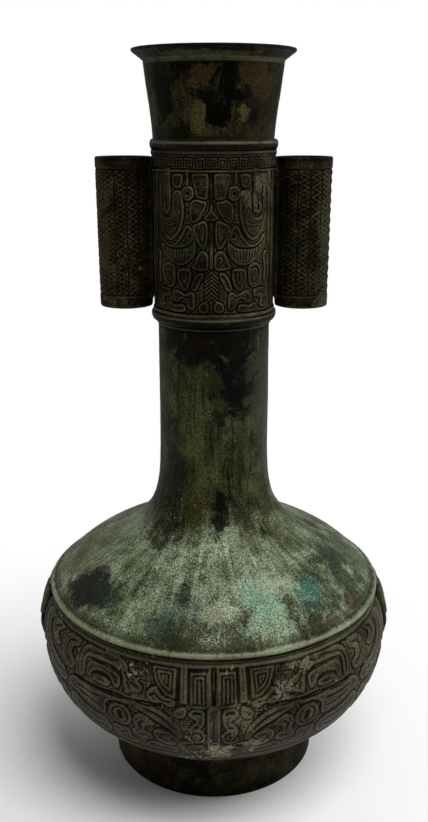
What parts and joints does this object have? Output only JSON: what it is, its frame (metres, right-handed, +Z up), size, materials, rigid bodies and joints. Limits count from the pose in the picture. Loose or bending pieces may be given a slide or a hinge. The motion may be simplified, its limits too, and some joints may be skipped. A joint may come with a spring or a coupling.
{
  "type": "arrow vase",
  "caption": "Bronze arrow vase: flaring mouth on a long neck with open tubular ears, relief sleeve, domed shoulder, rounded relief bowl and plain ring foot.",
  "frame": {"origin": "centre of the standing face of the foot, on the vase's axis", "axes": "+Z up along the axis to the mouth, ears along X, front of the relief towards -Y"},
  "size_m": [0.1952, 0.191, 0.3806],
  "materials": {
    "dark_bronze": "cast bronze with a brown-black patina, satin",
    "relief_bronze": "cast relief with a grey-brown patina, dark in the grooves and paler on worn edges",
    "green_bronze": "cast bronze with mottled olive, grey-green and pale verdigris patina, satin",
    "olive_bronze": "cast bronze with streaked olive and blackish green patina, satin"
  },
  "bodies": {
    "root": {"foot_ring": "dark_bronze", "base_plate": "dark_bronze", "bowl": "relief_bronze", "shoulder_dome": "green_bronze", "lower_neck": "olive_bronze", "lower_collar": "olive_bronze", "neck_sleeve": "relief_bronze", "upper_collar": "olive_bronze", "mouth_trumpet": "olive_bronze", "ear_tube_left": "dark_bronze", "ear_tube_right": "dark_bronze", "side_mask_left": "relief_bronze", "side_mask_right": "relief_bronze"}
  },
  "joints": []
}
